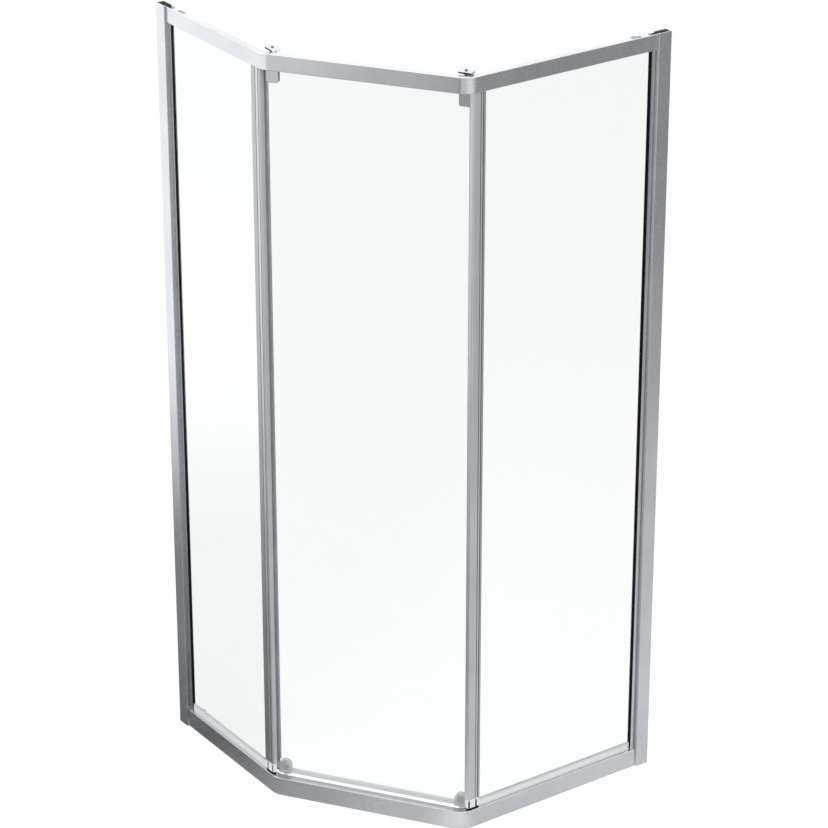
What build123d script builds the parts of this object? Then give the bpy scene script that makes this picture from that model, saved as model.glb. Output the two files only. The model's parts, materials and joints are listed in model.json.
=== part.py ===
from build123d import *
import math
import os

# A pentagonal shower enclosure for a room corner, with a glass door across its middle.
# The door's two carriages run round the right bend, so it parks inside the right panel.
# Millimetres, Z up. The left wall is at -X and the right wall at +Y; the door faces -Y and +X.
# The origin is on the floor, at the centre of the square that the enclosure fills.
# Depth is measured inwards from the rails' outer faces, and reach is measured from a wall.

# Plan
footprint = 880.0  # wall to the rails' outer faces, both ways
left_panel = 461.0  # left wall to the left corner, on the outer faces
right_panel = 588.0  # right wall to the right corner, on the outer faces
profile_proud = 5.0  # wall profiles stand this far in front of the rails
bend_radius = 50.0  # outer radius of both bends in the rails
rail_top = 2000.0  # floor to the top of the top rail
profile_rise = 2.0  # the wall profiles stand this far above the rail
play = 0.3  # gap between pieces that pass or face each other
running_gap = 0.08  # radial clearance round pins that turn

# Rails
rail_wall = 2.0  # wall thickness of both rails
top_height = 40.0  # height of the top rail's face
top_depth = 16.0  # depth of the top rail's channel
bottom_height = 50.0  # height of the bottom rail's face
bottom_depth = 21.0  # depth of the bottom rail's box
rail_edge = 1.2  # rounding along the rails' outer edges
channel_start = 60.0  # the top rail's channel starts this far from the walls
track_depth = 34.0  # line that the door's carriages and guides run on
track_half = 9.0  # from that line to the top track's lip
track_drop = 22.0  # top of the rail down to the top track's floor
track_lip = 3.0  # height of that lip
track_lead = 45.0  # the tracks start this far before the left corner
groove_half = 7.0  # half the width of the bottom track
rib_height = 11.0  # height of the ribs beside it
rib_end = 84.0  # the ribs end this far from the right wall
sill_floor = 3.0  # thickness of the bottom rail's floor

# Wall profiles
profile_width = 37.0
profile_wall = 2.0
profile_lip = 1.7  # lip along its outer edge, turned towards the rails
profile_depth = 17.8  # depth of its inner flange's back
screw_margin = 150.0  # first and last wall screw from the floor and the top
screw_hole = 2.75  # radius of the holes left for them
screw_count = 4
side_screw_rise = 60.0  # the screws into the adjusting profiles sit this far above them

# Fixed glass and what holds it
glass = 5.0  # thickness of all panes
glass_depth = 7.0  # outer face of the fixed glass
glass_start = 44.0  # its edge, from the wall
glass_bottom = 66.0
glass_drop = 8.0  # its upper edge below the rail's top
adjuster_start = 8.0  # reach of the adjusting profile's hidden edge
adjuster_step = 35.0  # its deep part ends here
adjuster_mouth = 50.0  # and its mouth here
adjuster_front = 4.5  # depth of the mouth's face
adjuster_wall = 1.5
gasket_show = 5.0  # the black gasket shows this far past the mouth
seal_wall = 1.5  # thickness of the clear seals
seal_grip = 7.0  # height of glass that they cover

boss_outer = 4.5  # radius of the screw boss at the end of the top rail
boss_bore = 2.2
boss_stand = 3.0  # it stands this far off the rail's face

# Corner posts
post_width = 36.0
post_front = 2.5
post_back = 15.5
post_wall = 2.0
post_left = 13.0  # left corner to the left post
post_right = 15.7  # right corner to the right post
post_bottom = 80.0
post_round = 5.0  # rounding of the post's edge at the corner
groove_width = 2.0
groove_depth = 1.2
groove_places = {"left": (17.0, 28.5), "right": (6.0, 12.5)}  # from its edge at the glass
glass_in_post = 12.0  # the fixed glass enters the post this far
slot_first = 8.0  # first slot in the white foot, from the post's edge at the glass
slot_last = 1.5  # last slot, from the post's edge at the corner
slot_width = 5.0
slot_depth = 3.0
slot_cover = 3.0  # height of the foot left above the slots
pad_height = 6.0  # black pad under the foot

# Door
axis_left = 15.6  # left corner to the trailing carriage's axis, along the middle
door_drop = 44.0  # door glass below the rail's top
door_bottom = 58.0
lead_glass = 14.0  # door glass past the leading axis
trail_glass = 18.0  # and past the trailing axis
edge_depth = 4.5  # half the depth of the trailing edge profile
edge_front = 7.5  # that profile ends this far past the left corner
edge_back = 3.0  # and starts this far behind it
drip_bottom = 52.5  # lower edge of the drip seal
lead_seal = 2.0  # the leading seal stands this far past the glass
lead_seal_half = 4.0  # half its depth
lead_grip = 4.0  # width of glass that it covers

# Clips and hangers at the door's top corners
clip_half = 15.5
clip_top = 41.0  # below the rail's top
clip_low = 79.0
clip_round = 6.0
pad_face = 3.5  # outer face of the pads, from the middle of the glass
jaw_face = 7.5  # outer face of the jaws
jaw_skin = 1.5  # metal left in front of the clip screw
stem_near = 20.0  # the stem rises inside the lip, from here to there
stem_far = 23.0
stem_start = 4.0  # and between these, from the axis towards the door's middle
stem_end = 20.0
shelf_low = 52.0  # below the rail's top
shelf_high = 47.0
arm_low = 17.0
arm_high = 14.0
riser_near = 10.5
riser_half = 6.0
plate_low = 4.5
plate_high = 1.5
plate_radius = 7.0
clip_screw = 2.0  # radius

# Carriages
pin_radius = 2.0
wheel_radius = 6.5
wheel_half = 3.0
axle_radius = 1.5
fork_half = 5.0
fork_bridge_low = 8.4  # below the rail's top
fork_bridge_high = 5.0
body_low = 0.6  # above the rail's top
cap_length = 37.0
cap_width = 22.0
cap_leg = 4.0  # length of the cap's leg, at the end towards the door's middle
cap_low = 4.0
cap_high = 6.5
cap_round = 2.5
boss_radius = 6.0
head_radius = 3.6  # head of the carriage's bolt
head_height = 2.4

# Bottom guides
guide_half = 16.0  # half the width of the housing
guide_centre = 72.5  # height of its button
guide_low = 51.0
guide_face = 8.0  # outer faces from the middle of the glass
stub_radius = 3.0
stub_low = 6.5
roller_radius = 6.3
roller_low = 8.0
roller_high = 20.0
button_radius = 10.5
button_face = 9.5
button_back = 6.5
button_travel = 2.0
disc_radius = 6.0  # wear disc under the roller, in the right bend
disc_thickness = 1.5
disc_spigot = 2.0

# Stops and caps
rail_cap_start = 83.0
rail_cap_length = 24.0
rail_cap_height = 1.5
track_stop_start = 74.0
track_stop_end = 86.0
guide_stop_reach = 69.0
guide_stop_radius = 7.5
guide_stop_top = 53.0

# Places worked out from the sizes above
overall = footprint + profile_proud
profile_top = rail_top + profile_rise
screw_pitch = (rail_top - 2 * screw_margin) / (screw_count - 1)
wall_x = -overall / 2
wall_y = overall / 2
front_x = wall_x + footprint
front_y = wall_y - footprint
corner_left = Vector(wall_x + left_panel, front_y, 0)
corner_right = Vector(front_x, wall_y - right_panel, 0)
middle_line = corner_right - corner_left
middle_length = middle_line.length
turn_left = math.atan2(middle_line.Y, middle_line.X)
turn_right = math.pi / 2 - turn_left
axis_right = middle_length - track_depth * math.tan(turn_right / 2)
carriage_span = axis_right - axis_left
track_floor = rail_top - track_drop
lip_far = track_depth + track_half + rail_wall
wheel_height = track_floor + running_gap + wheel_radius
glass_back = glass_depth + glass
glass_half = glass / 2
glass_top = rail_top - glass_drop
door_top = rail_top - door_drop
hidden_front = profile_wall - profile_proud + play
hidden_back = profile_depth - profile_wall - play
pad_bottom = bottom_height
foot_bottom = pad_bottom + pad_height

left_frame = Location((wall_x, front_y, 0))
middle_frame = Plane(origin=corner_left, x_dir=middle_line, z_dir=(0, 0, 1))
side_mirror = Plane(origin=(0, 0, 0), z_dir=(1, 1, 0))
door_mirror = Plane(origin=((axis_left + axis_right) / 2, 0, 0), z_dir=(1, 0, 0))
leading_axis = middle_frame.from_local_coords(Vector(axis_right, track_depth, 0))
trailing_axis = middle_frame.from_local_coords(Vector(axis_left, track_depth, 0))


def block(x0, x1, y0, y1, z0, z1):
    """Box between two opposite corners."""
    middle = Pos((x0 + x1) / 2, (y0 + y1) / 2, (z0 + z1) / 2)
    return middle * Box(x1 - x0, y1 - y0, z1 - z0)


def rounded_block(x0, x1, y0, y1, z0, z1, radius):
    """Box with rounded upright edges."""
    solid = block(x0, x1, y0, y1, z0, z1)
    return fillet(solid.edges().filter_by(Axis.Z), radius)


def disc(x, y, radius, z0, z1):
    """Upright cylinder."""
    return Pos(x, y, (z0 + z1) / 2) * Cylinder(radius, z1 - z0)


def cross_pin(x, z, radius, y0, y1):
    """Cylinder that lies along local Y."""
    return Pos(x, (y0 + y1) / 2, z) * Rot(90, 0, 0) * Cylinder(radius, y1 - y0)


def upright_edges(shape, x, y):
    """The upright edges of a shape that pass through a plan point."""
    return [
        edge
        for edge in shape.edges().filter_by(Axis.Z)
        if abs(edge.center().X - x) < 0.01 and abs(edge.center().Y - y) < 0.01
    ]


def on_side(side, shape):
    """Place a shape drawn in reach, depth and height on the left or the right panel."""
    placed = left_frame * shape
    return placed if side == "left" else mirror(placed, about=side_mirror)


def on_door(side, shape):
    """Place a fitting drawn about a carriage's axis, X to the door's middle and Y inwards."""
    placed = Pos(axis_left, track_depth, 0) * shape
    if side == "right":
        placed = mirror(placed, about=door_mirror)
    return middle_frame.location * placed


def on_carriage(side, shape):
    """Place a shape drawn about a carriage's axis, in line with the side rail it rests in."""
    if side == "left":
        return Pos(trailing_axis.X, trailing_axis.Y, 0) * shape
    return Pos(leading_axis.X, leading_axis.Y, 0) * Rot(0, 0, 90) * shape


def on_plate(side, shape):
    """Place a carriage's top: in line with the left rail on the left, and the door on the right."""
    if side == "left":
        return on_carriage(side, shape)
    turn = math.degrees(turn_left) + 180
    return Pos(leading_axis.X, leading_axis.Y, 0) * Rot(0, 0, turn) * shape


def plan_line(depth, left_reach, right_reach, rounded):
    """Plan of the rails at one depth: three straight runs that meet at two corners."""
    left_slip = depth * math.tan(turn_left / 2)
    right_slip = depth * math.tan(turn_right / 2)
    points = [
        (wall_x + left_reach, front_y + depth),
        (corner_left.X - left_slip, corner_left.Y + depth),
        (corner_right.X - depth, corner_right.Y + right_slip),
        (front_x - depth, wall_y - right_reach),
    ]
    if rounded:
        return FilletPolyline(*points, radius=bend_radius - depth)
    return Polyline(*points)


def rail_band(near, far, low, high, left_reach, right_reach, rounded=True):
    """Strip of rail between two depths and two heights."""
    outer = plan_line(near, left_reach, right_reach, rounded)
    inner = plan_line(far, left_reach, right_reach, rounded)
    ends = [Line(outer @ 0, inner @ 0), Line(outer @ 1, inner @ 1)]
    face = make_face([*outer.edges(), *inner.edges(), *ends])
    return extrude(Pos(0, 0, low) * face, amount=high - low, dir=(0, 0, 1))


def rail_face(low, high):
    """Outer wall of a rail, rounded along its upper and lower outer edges."""
    start = profile_width + play
    band = rail_band(0, rail_wall, low, high, start, start)
    outer = plan_line(0, start, start, True)
    picked = []
    for edge in band.edges():
        point = edge.position_at(0.5)
        level = min(abs(point.Z - low), abs(point.Z - high)) < 0.01
        if level and outer.distance_to(Vertex(point.X, point.Y, 0)) < 0.01:
            picked.append(edge)
    return fillet(picked, rail_edge)


def make_top_rail():
    """Bent channel open downwards, with the door's track behind its middle and right runs."""
    low = rail_top - top_height
    ends = (channel_start, channel_start)
    track = (left_panel - track_lead, channel_start)
    lip_low = track_floor
    rail = rail_face(low, rail_top)
    rail += rail_band(rail_wall, top_depth, rail_top - rail_wall, rail_top, *ends)
    rail += rail_band(top_depth - rail_wall, top_depth, low, rail_top - rail_wall, *ends)
    curb = rail_band(top_depth, lip_far, track_floor - rail_wall, track_floor, *track, False)
    gap = rail_band(0, top_depth, track_floor - rail_wall, track_floor, *track)
    rail += curb - gap
    lip = (lip_far - rail_wall, lip_far, lip_low, lip_low + track_lip)
    return rail + rail_band(*lip, *track, False)


def make_bottom_rail():
    """Bent box section, with the groove for the door's guides behind it."""
    start = profile_width + play
    ends = (start, start)
    track = (left_panel - track_lead, channel_start)
    ribs = (left_panel - track_lead, rib_end)
    box_top = bottom_height - rail_wall
    rail = rail_face(0, bottom_height)
    rail += rail_band(rail_wall, bottom_depth, box_top, bottom_height, *ends)
    rail += rail_band(bottom_depth - rail_wall, bottom_depth, sill_floor, box_top, *ends)
    rail += rail_band(rail_wall, bottom_depth, 0, sill_floor, *ends)
    groove_far = track_depth + groove_half + rail_wall
    groove = rail_band(bottom_depth, groove_far, 0, sill_floor, *track, False)
    rail += groove - rail_band(0, bottom_depth, 0, sill_floor, *track)
    for near in (track_depth - groove_half - rail_wall, track_depth + groove_half):
        low, high = sill_floor, sill_floor + rib_height
        rail += rail_band(near, near + rail_wall, low, high, *ribs, False)
    hole_radius = disc_spigot + running_gap
    return rail - disc(leading_axis.X, leading_axis.Y, hole_radius, 0, sill_floor)


def screw_heights():
    """Heights of the wall screws."""
    return [screw_margin + index * screw_pitch for index in range(screw_count)]


def make_wall_profile(side):
    """U profile screwed to the wall, open towards the glass."""
    front = -profile_proud
    outer_back = front + profile_wall
    inner_front = profile_depth - profile_wall
    profile = block(0, profile_wall, front, profile_depth, 0, profile_top)
    profile += block(0, profile_width, front, outer_back, 0, profile_top)
    profile += block(0, profile_width, inner_front, profile_depth, 0, profile_top)
    lip = profile_width - profile_lip
    profile += block(lip, profile_width, outer_back, -play, 0, profile_top)
    profile = fillet(upright_edges(profile, profile_width, front), rail_edge)
    middle = (front + profile_depth) / 2
    for height in screw_heights():
        hole = Rot(0, 90, 0) * Cylinder(screw_hole, 4 * profile_wall)
        profile -= Pos(profile_wall / 2, middle, height) * hole
    return on_side(side, profile)


def adjuster_heights():
    """Lower and upper end of the adjusting profile."""
    return bottom_height + play, rail_top - 5


def make_glass_profile(side):
    """Adjusting profile that slides in the wall profile and grips the glass edge."""
    low, high = adjuster_heights()
    wall = adjuster_wall
    deep = block(adjuster_start, adjuster_step, hidden_front, hidden_back, low, high)
    deep_core = (adjuster_start + wall, adjuster_step - wall, hidden_front + wall, hidden_back - wall)
    mouth = block(adjuster_step, adjuster_mouth, adjuster_front, hidden_back, low, high)
    mouth_core = (adjuster_step + wall, adjuster_mouth, adjuster_front + wall, hidden_back - wall)
    profile = deep - block(*deep_core, low, high)
    profile += mouth - block(*mouth_core, low, high)
    return on_side(side, profile)


def make_wall_gasket(side):
    """Black gasket round the glass edge in the adjusting profile's mouth."""
    low = bottom_height + 2 * pad_height
    high = rail_top - top_height - rail_wall
    near = adjuster_front + adjuster_wall
    far = hidden_back - adjuster_wall
    end = adjuster_mouth + gasket_show
    body = block(adjuster_step + adjuster_wall, end, near, far, low, high)
    body -= block(glass_start, end, glass_depth, glass_back, glass_bottom, high)
    return on_side(side, body)


def make_profile_plug(side):
    """Black plug in the top of the wall profile, notched round the rail's face."""
    low = adjuster_heights()[1]
    high = low + 4
    plug = block(profile_wall + play, adjuster_mouth - play, hidden_front, hidden_back, low, high)
    plug -= block(adjuster_step, channel_start, hidden_front, rail_wall + play, low, high)
    return on_side(side, plug)


def make_rail_connector(side):
    """Screw boss at the end of the top rail, fixed to the back of its face."""
    low = glass_top + 1
    high = rail_top + rail_wall / 2
    middle = channel_start - play - boss_outer
    depth = rail_wall + boss_outer + boss_stand
    boss = disc(middle, depth, boss_outer, low, high)
    half = boss_outer - rail_wall / 2
    boss += block(middle - half, middle + half, rail_wall, depth, low, rail_top - rail_wall)
    return on_side(side, boss - disc(middle, depth, boss_bore, low, high))


def make_profile_screws():
    """Screws through the wall profiles' inner flanges into the adjusting profiles."""
    solids = []
    inner = profile_depth - profile_wall
    for side in ("left", "right"):
        for height in screw_heights():
            reach = (adjuster_start + adjuster_step) / 2
            place = Pos(reach, 0, height + side_screw_rise)
            head = cross_pin(0, 0, 3.5, profile_depth, profile_depth + 1.6)
            shank = cross_pin(0, 0, 1.5, inner - play, profile_depth)
            solids.append(on_side(side, place * (head + shank)))
    return Compound(children=solids)


def drilled_for_screws(side, shape):
    """A wall profile with the holes for its side screws."""
    reach = (adjuster_start + adjuster_step) / 2
    for height in screw_heights():
        place = Pos(reach, 0, height + side_screw_rise)
        inner = profile_depth - profile_wall
        shape -= on_side(side, place * cross_pin(0, 0, 1.5, inner, profile_depth))
    return shape


def post_reach(side):
    """Reach of the post's edge at the glass and of its edge at the corner."""
    if side == "left":
        corner = left_panel - post_left
    else:
        corner = right_panel - post_right
    return corner - post_width, corner


def make_side_glass(side):
    """Fixed pane between the wall and the post."""
    end = post_reach(side)[0] + glass_in_post
    pane = block(glass_start, end, glass_depth, glass_back, glass_bottom, glass_top)
    return on_side(side, pane)


def make_sill_seal(side):
    """Clear seal under the fixed pane, standing on the bottom rail."""
    start = adjuster_mouth + gasket_show + play
    end = post_reach(side)[0] - play
    near = glass_depth - seal_wall
    far = glass_back + seal_wall
    seal = block(start, end, near, far, bottom_height, glass_bottom + seal_grip)
    seal -= block(start, end, glass_depth, glass_back, glass_bottom, glass_top)
    return on_side(side, seal)


def make_head_seal(side):
    """Seal that centres the fixed pane's upper edge in the top rail."""
    start = channel_start + play
    end = post_reach(side)[0] + glass_in_post
    low = rail_top - top_height + play
    near = rail_wall + play
    far = top_depth - rail_wall - play
    seal = block(start, end, near, far, low, glass_top + seal_wall)
    seal -= block(start, end, glass_depth, glass_back, low, glass_top)
    return on_side(side, seal)


def make_corner_post(side):
    """Hollow post at the corner, slotted for the pane and grooved along its face."""
    start, end = post_reach(side)
    low = post_bottom
    high = rail_top - top_height
    post = block(start, end, post_front, post_back, low, high)
    post = fillet(upright_edges(post, end, post_front), post_round)
    post = fillet(upright_edges(post, start, post_front), rail_edge)
    web = start + glass_in_post
    inner = (post_front + post_wall, post_back - post_wall)
    post -= block(start, web, glass_depth, glass_back, low, high)
    cavity = block(web + post_wall, end - post_wall, *inner, low, high)
    post -= fillet(upright_edges(cavity, end - post_wall, inner[0]), post_round - post_wall)
    deep = post_front + groove_depth
    for place in groove_places[side]:
        near = start + place
        post -= block(near, near + groove_width, post_front, deep, low, high)
    return on_side(side, post)


def foot_outline(side, inset, low, high):
    """Block under a post, smaller than the post by the same amount all round."""
    start, end = post_reach(side)
    sizes = (start + inset, end - inset, post_front + inset, post_back - inset)
    return rounded_block(*sizes, low, high, 1.5)


def make_post_foot(side):
    """White foot that carries the post, open for the pane's end."""
    start = post_reach(side)[0]
    foot = foot_outline(side, 0.5, foot_bottom, post_bottom)
    web = start + glass_in_post
    foot -= block(start, web, glass_depth, glass_back, glass_bottom, post_bottom)
    for slot in foot_slots(side, foot_bottom, 0):
        foot -= slot
    return on_side(side, foot)


def foot_slots(side, low, gap):
    """Two upright blocks, smaller than the slots in the foot's face by a gap."""
    start, end = post_reach(side)
    near, far = post_front + gap, post_front + slot_depth - gap
    high = post_bottom - slot_cover - gap
    places = (start + slot_first, end - slot_last - slot_width)
    return [block(x + gap, x + slot_width - gap, near, far, low, high) for x in places]


def make_foot_pad(side):
    """Black pad between the foot and the bottom rail, with two tongues in the foot's slots."""
    pad = foot_outline(side, 1.5, pad_bottom, foot_bottom)
    for tongue in foot_slots(side, pad_bottom + 1, 2 * play):
        pad += tongue
    return on_side(side, pad)


def make_rail_caps():
    """Small caps on top of the top rail, near both walls."""
    solids = []
    for side in ("left", "right"):
        end = rail_cap_start + rail_cap_length
        high = rail_top + rail_cap_height
        cap = rounded_block(rail_cap_start, end, 6, top_depth - 2, rail_top, high, 1.5)
        solids.append(on_side(side, cap))
    return Compound(children=solids)


def make_track_stop():
    """Block on the top track's floor that ends the leading carriage's run."""
    near = track_depth - track_half
    far = track_depth + track_half - play
    low = track_floor
    return on_side("right", block(track_stop_start, track_stop_end, near, far, low, low + 12))


def make_guide_stop(side):
    """Round buffer behind the bottom rail, near a wall."""
    depth = bottom_depth + play + guide_stop_radius
    low = sill_floor if side == "right" else 0
    buffer = disc(guide_stop_reach, depth, guide_stop_radius, low, guide_stop_top)
    return on_side(side, fillet(buffer.edges().sort_by(Axis.Z)[-1], 1.0))


def make_corner_disc():
    """Wear disc in the floor of the groove, where the door turns round the right corner."""
    spigot = disc(0, 0, disc_spigot, play, sill_floor + running_gap)
    low = sill_floor + running_gap
    plate = disc(0, 0, disc_radius, low, low + disc_thickness)
    return Pos(leading_axis.X, leading_axis.Y, 0) * (spigot + plate)


def make_door_glass():
    """Door pane with one hole behind each clip."""
    near, far = track_depth - glass_half, track_depth + glass_half
    ends = (axis_left - trail_glass, axis_right + lead_glass)
    pane = middle_frame.location * block(*ends, near, far, door_bottom, door_top)
    for side in ("left", "right"):
        pane -= on_door(side, clip_hole(-glass_half, glass_half))
    return pane


def clip_hole(near, far):
    """Cylinder on the clip screw's line."""
    height = rail_top - (clip_top + clip_low) / 2
    return cross_pin(0, height, clip_screw, near, far)


def make_trailing_profile():
    """Upright profile on the door edge that meets the left panel."""
    low, high = door_bottom - 2, door_top + 2
    near, far = track_depth - edge_depth, track_depth + edge_depth
    profile = rounded_block(-edge_front, edge_back, near, far, low, high, 1.5)
    slot = (axis_left - trail_glass, edge_back)
    faces = (track_depth - glass_half, track_depth + glass_half)
    profile -= block(*slot, *faces, low, high)
    notch = axis_left - guide_half - play
    profile -= block(notch, edge_back, near, far, low, guide_centre + guide_half + play)
    profile -= block(notch, edge_back, near, far, rail_top - clip_low - play, high)
    return middle_frame.location * profile


def make_leading_seal():
    """Soft seal on the door edge at the right corner."""
    end = axis_right + lead_glass
    low = guide_centre + guide_half + play
    high = rail_top - clip_low - play
    near, far = track_depth - lead_seal_half, track_depth + lead_seal_half
    seal = rounded_block(end - lead_grip, end + lead_seal, near, far, low, high, 1.0)
    faces = (track_depth - glass_half, track_depth + glass_half)
    seal -= block(end - lead_grip, end, *faces, low, high)
    return middle_frame.location * seal


def make_drip_seal():
    """Clear seal along the door's lower edge, between the two guides."""
    start = axis_left + guide_half + play
    end = axis_right - guide_half - play
    near = track_depth - glass_half - seal_wall
    far = track_depth + glass_half + seal_wall
    seal = block(start, end, near, far, drip_bottom, door_bottom + seal_grip)
    faces = (track_depth - glass_half, track_depth + glass_half)
    seal -= block(start, end, *faces, door_bottom, door_bottom + seal_grip)
    return middle_frame.location * seal


def make_clip(side):
    """Outer jaw of the clip that holds the door's top corner."""
    low, high = rail_top - clip_low, rail_top - clip_top
    jaw = block(-clip_half, clip_half, -jaw_face, -pad_face, low, high)
    lower = [edge for edge in jaw.edges().filter_by(Axis.Y) if edge.center().Z < low + 1]
    jaw = fillet(lower, clip_round)
    front = [edge for edge in jaw.edges() if edge.bounding_box().max.Y < -jaw_face + 0.01]
    jaw = chamfer(front, 0.6)
    return on_door(side, jaw - clip_hole(jaw_skin - jaw_face, -pad_face))


def make_clip_pads(side):
    """Pads between the jaws and the glass."""
    low, high = rail_top - clip_low + pad_face - glass_half, rail_top - door_drop - glass_half
    solids = []
    for near, far in ((-pad_face, -glass_half), (glass_half, pad_face)):
        pad = rounded_pad(low, high, near, far) - clip_hole(near, far)
        solids.append(on_door(side, pad))
    return Compound(children=solids)


def rounded_pad(low, high, near, far):
    """Pad with rounded lower corners."""
    pad = block(-clip_half, clip_half, near, far, low, high)
    lower = [edge for edge in pad.edges().filter_by(Axis.Y) if edge.center().Z < low + 1]
    return fillet(lower, clip_round - 2)


def make_hanger(side):
    """Inner jaw with the arm that reaches over the track's lip to the carriage's pin."""
    top = rail_top
    stem = (stem_start, stem_end)
    riser = (riser_near, riser_near + 3)
    hanger = block(-clip_half, clip_half, pad_face, jaw_face, top - clip_low + 3, top - shelf_high + 1)
    hanger -= clip_hole(pad_face, jaw_face)
    hanger += block(*stem, jaw_face, stem_far, top - shelf_low, top - shelf_high)
    hanger += block(*stem, stem_near, stem_far, top - shelf_high, top - arm_low)
    hanger += block(-riser_half, stem_end, riser_near, stem_far, top - arm_low, top - arm_high)
    hanger += block(-riser_half, riser_half, *riser, top - arm_high, top - plate_low)
    plate = block(-riser_half, riser_half, 0, riser[1], top - plate_low, top - plate_high)
    plate += disc(0, 0, plate_radius, top - plate_low, top - plate_high)
    plate -= disc(0, 0, pin_radius + running_gap, top - plate_low, top - plate_high)
    return on_door(side, hanger + plate)


def make_clip_screws():
    """Screws through the clips, the pads and the glass."""
    solids = []
    height = rail_top - (clip_top + clip_low) / 2
    for side in ("left", "right"):
        shank = clip_hole(jaw_skin - jaw_face, jaw_face)
        head = cross_pin(0, height, 2 * clip_screw, jaw_face, jaw_face + 2)
        solids.append(on_door(side, shank + head))
    return Compound(children=solids)


def make_guide_housing(side):
    """Clear housing on the door's lower corner, with the pin for the roller."""
    low = guide_low
    outline = block(-guide_half, guide_half, -guide_face, guide_face, low, guide_centre)
    outline += cross_pin(0, guide_centre, guide_half, -guide_face, guide_face)
    outline -= block(-guide_half, guide_half, -glass_half, glass_half, door_bottom, 2 * guide_centre)
    pocket = button_back - button_travel - 2 * play
    outline -= cross_pin(0, guide_centre, button_radius + play, -guide_face, -pocket)
    housing = outline + disc(0, 0, stub_radius, stub_low + 1, low)
    housing += disc(0, 0, stub_radius + 1.5, stub_low, roller_low - play)
    housing += disc(0, 0, stub_radius + 2, roller_high + play, low)
    return on_door(side, housing)


def make_guide_roller(side):
    """Roller that keeps the door in the groove."""
    roller = disc(0, 0, roller_radius, roller_low, roller_high)
    ends = [edge for edge in roller.edges().filter_by(GeomType.CIRCLE)]
    roller = fillet(ends, 1.0)
    hole = disc(0, 0, stub_radius + running_gap, roller_low, roller_high)
    return on_door(side, roller - hole)


def make_release_button(side):
    """Round button that is pressed to free the door from its guide."""
    button = cross_pin(0, guide_centre, button_radius, -button_face, -button_back)
    front = button.edges().filter_by(GeomType.CIRCLE).sort_by(Axis.Y)[0]
    button = fillet(front, 1.0)
    return on_door(side, button)


def make_carriage_block(side):
    """Dark body of the carriage, over the hanger's plate."""
    low = rail_top + body_low
    ends = (1 - cap_length / 2, cap_length / 2 - cap_leg)
    side_half = cap_width / 2 - 1
    body = block(*ends, -side_half, side_half, low, rail_top + cap_low)
    body += disc(0, 0, boss_radius, rail_top - plate_high + play, low)
    body -= disc(0, 0, pin_radius, rail_top - plate_low, rail_top + cap_low)
    return on_plate(side, body)


def make_carriage_cap(side):
    """Light plate over the carriage, with a leg at the end towards the door's middle."""
    sizes = (-cap_length / 2, cap_length / 2, -cap_width / 2, cap_width / 2)
    low, high = rail_top + body_low, rail_top + cap_high
    cap = rounded_block(*sizes, low, high, cap_round)
    cap = chamfer(cap.faces().sort_by(Axis.Z)[-1].edges(), 0.6)
    leg = cap_length / 2 - cap_leg
    cap -= block(-cap_length, leg, -cap_width, cap_width, low, rail_top + cap_low)
    return on_plate(side, cap - disc(0, 0, pin_radius, low, high))


def make_carriage_bolt(side):
    """Pin that the carriage turns on, with a round head on the cap."""
    head_low = rail_top + cap_high
    head = disc(0, 0, head_radius, head_low, head_low + head_height)
    head = fillet(head.edges().sort_by(Axis.Z)[-1], head_height / 3)
    bolt = disc(0, 0, pin_radius, rail_top - fork_bridge_low, head_low)
    return on_carriage(side, bolt + head)


def make_carriage_fork(side):
    """Fork that holds the wheel under the hanger's plate."""
    top = rail_top
    low, high = top - fork_bridge_low, top - fork_bridge_high
    fork = block(-fork_half, fork_half, -fork_half, fork_half, low, high)
    fork -= disc(0, 0, pin_radius, low, high)
    foot = wheel_height - 2 * axle_radius
    for near in (-fork_half, wheel_half + play):
        cheek = block(-fork_half, fork_half, near, near + fork_half - wheel_half - play, foot, low)
        fork += cheek - cross_pin(0, wheel_height, axle_radius, -fork_half, fork_half)
    return on_carriage(side, fork)


def make_carriage_axle(side):
    """Axle across the fork."""
    return on_carriage(side, cross_pin(0, wheel_height, axle_radius, -fork_half, fork_half))


def make_carriage_wheel(side):
    """Wheel that rolls on the top track's floor."""
    wheel = cross_pin(0, wheel_height, wheel_radius, -wheel_half, wheel_half)
    wheel = fillet(wheel.edges().filter_by(GeomType.CIRCLE), 0.6)
    hole = cross_pin(0, wheel_height, axle_radius + running_gap, -wheel_half, wheel_half)
    return on_carriage(side, wheel - hole)


paired = {
    "glass_profile": make_glass_profile,
    "wall_gasket": make_wall_gasket,
    "profile_plug": make_profile_plug,
    "rail_connector": make_rail_connector,
    "side_glass": make_side_glass,
    "sill_seal": make_sill_seal,
    "head_seal": make_head_seal,
    "corner_post": make_corner_post,
    "post_foot": make_post_foot,
    "foot_pad": make_foot_pad,
    "guide_stop": make_guide_stop,
    "clip": make_clip,
    "clip_pads": make_clip_pads,
    "hanger": make_hanger,
    "guide_housing": make_guide_housing,
    "guide_roller": make_guide_roller,
    "release_button": make_release_button,
    "carriage_block": make_carriage_block,
    "carriage_cap": make_carriage_cap,
    "carriage_bolt": make_carriage_bolt,
    "carriage_fork": make_carriage_fork,
    "carriage_axle": make_carriage_axle,
    "carriage_wheel": make_carriage_wheel,
}

single = {
    "top_rail": make_top_rail,
    "bottom_rail": make_bottom_rail,
    "profile_screws": make_profile_screws,
    "rail_caps": make_rail_caps,
    "track_stop": make_track_stop,
    "corner_disc": make_corner_disc,
    "door_glass": make_door_glass,
    "trailing_profile": make_trailing_profile,
    "leading_seal": make_leading_seal,
    "drip_seal": make_drip_seal,
    "clip_screws": make_clip_screws,
}


def make_parts():
    """Every node's shape, by name."""
    shapes = {name: maker() for name, maker in single.items()}
    for side in ("left", "right"):
        shapes[f"wall_profile_{side}"] = drilled_for_screws(side, make_wall_profile(side))
        for name, maker in paired.items():
            shapes[f"{name}_{side}"] = maker(side)
    return shapes


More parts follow.
